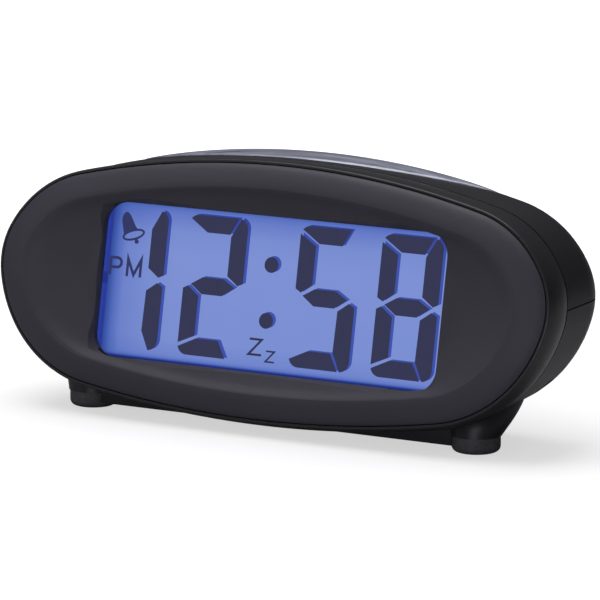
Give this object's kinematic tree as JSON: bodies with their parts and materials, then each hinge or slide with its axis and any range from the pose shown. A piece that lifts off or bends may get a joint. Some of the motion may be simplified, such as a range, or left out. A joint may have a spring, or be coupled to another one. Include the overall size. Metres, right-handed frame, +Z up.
{
  "type": "alarm clock",
  "caption": "Battery bedside alarm clock: lens-shaped charcoal bezel around a large blue backlit LCD, rounded two-shell body on feet, snooze bar on top, keys at the rear.",
  "frame": {"origin": "on the table, under the middle of the clock's length and depth", "axes": "+X to the clock's right seen from the front, +Y towards its back, +Z up"},
  "size_m": [0.164, 0.0472, 0.0698],
  "materials": {
    "bezel": "satin moulded charcoal",
    "housing": "satin gloss moulded black",
    "shell": "fine-textured moulded black",
    "lens": "clear hard-coated acrylic",
    "rubber_foot": "matte moulded rubber",
    "smoked_clear": "polished smoke-tinted clear",
    "carrier": "natural moulded",
    "circuit_board": "solder-masked laminate",
    "switch_body": "moulded",
    "spring_steel": "bright drawn wire",
    "screw_steel": "zinc plated",
    "display_glass": "polished, with polariser film",
    "display_ink": "dark liquid crystal figures",
    "light_guide": "blue backlit acrylic",
    "white_sheet": "white film",
    "led": "clear blue package",
    "zebra": "layered conductive rubber",
    "epoxy": "glossy epoxy dome",
    "crystal_can": "drawn can",
    "capacitor_sleeve": "shrink sleeve",
    "resistor_body": "coated ceramic",
    "button": "moulded charcoal",
    "buzzer_brass": "rolled",
    "piezo_ceramic": "silvered",
    "cell_sleeve": "plain printed sleeve",
    "contact_plate": "nickel plated",
    "lead_red": "insulation",
    "lead_black": "insulation",
    "lead_grey": "insulation"
  },
  "bodies": {
    "clock": {"front_bezel": "bezel", "window_lens": "lens", "front_housing": "housing", "top_shell": "shell", "bottom_shell": "shell", "front_feet": "rubber_foot", "rear_feet": "rubber_foot", "snooze_board": "circuit_board", "snooze_switches": "switch_body", "snooze_springs": "spring_steel", "snooze_board_screws": "screw_steel", "lcd_front_glass": "display_glass", "lcd_segments": "display_ink", "lcd_rear_glass": "display_glass", "light_guide": "light_guide", "reflector_sheet": "white_sheet", "backlight_leds": "led", "lcd_holder": "carrier", "zebra_strip": "zebra", "main_board": "circuit_board", "display_screws": "screw_steel", "clock_chip": "epoxy", "quartz_crystal": "crystal_can", "capacitors": "capacitor_sleeve", "resistors": "resistor_body", "alarm_slide_switch": "crystal_can", "control_switches": "switch_body", "control_board": "circuit_board", "control_board_screws": "screw_steel", "buzzer_disc": "buzzer_brass", "buzzer_ceramic": "piezo_ceramic", "aaa_cells": "cell_sleeve", "battery_springs": "spring_steel", "battery_contacts": "contact_plate", "case_screws": "screw_steel", "battery_leads": "lead_red", "buzzer_leads": "lead_black", "snooze_cable": "lead_grey", "control_cable": "lead_grey"},
    "snooze": {"snooze_bar": "smoked_clear", "snooze_carrier": "carrier"},
    "time_set_key": {"time_set_button": "button"},
    "alarm_set_key": {"alarm_set_button": "button"},
    "hour_key": {"hour_button": "button"},
    "minute_key": {"minute_button": "button"},
    "alarm_switch": {"alarm_switch_knob": "button", "alarm_switch_lever": "carrier"},
    "battery_cover": {"battery_door": "shell"}
  },
  "joints": [
    {"name": "snooze_press", "type": "slide", "parent": "clock", "child": "snooze", "axis": [0, 0, -1], "range_m": [0, 0.001], "stiffness_N_per_m": 400, "deforming": ["snooze_springs"]},
    {"name": "time_set_press", "type": "slide", "parent": "clock", "child": "time_set_key", "axis": [0, -0.9945, 0.1045], "range_m": [0, 0.0005], "stiffness_N_per_m": 1500},
    {"name": "alarm_set_press", "type": "slide", "parent": "clock", "child": "alarm_set_key", "axis": [0, -0.9945, 0.1045], "range_m": [0, 0.0005], "stiffness_N_per_m": 1500},
    {"name": "hour_press", "type": "slide", "parent": "clock", "child": "hour_key", "axis": [0, -0.9945, 0.1045], "range_m": [0, 0.0005], "stiffness_N_per_m": 1500},
    {"name": "minute_press", "type": "slide", "parent": "clock", "child": "minute_key", "axis": [0, -0.9945, 0.1045], "range_m": [0, 0.0005], "stiffness_N_per_m": 1500},
    {"name": "alarm_switch_slide", "type": "slide", "parent": "clock", "child": "alarm_switch", "axis": [1, 0, 0], "range_m": [0, 0.003]},
    {"name": "battery_door_open", "type": "hinge", "parent": "clock", "child": "battery_cover", "pos_m": [0, -0.0064, 0.0028], "axis": [-1, 0, 0], "range_deg": [0, 75]}
  ]
}
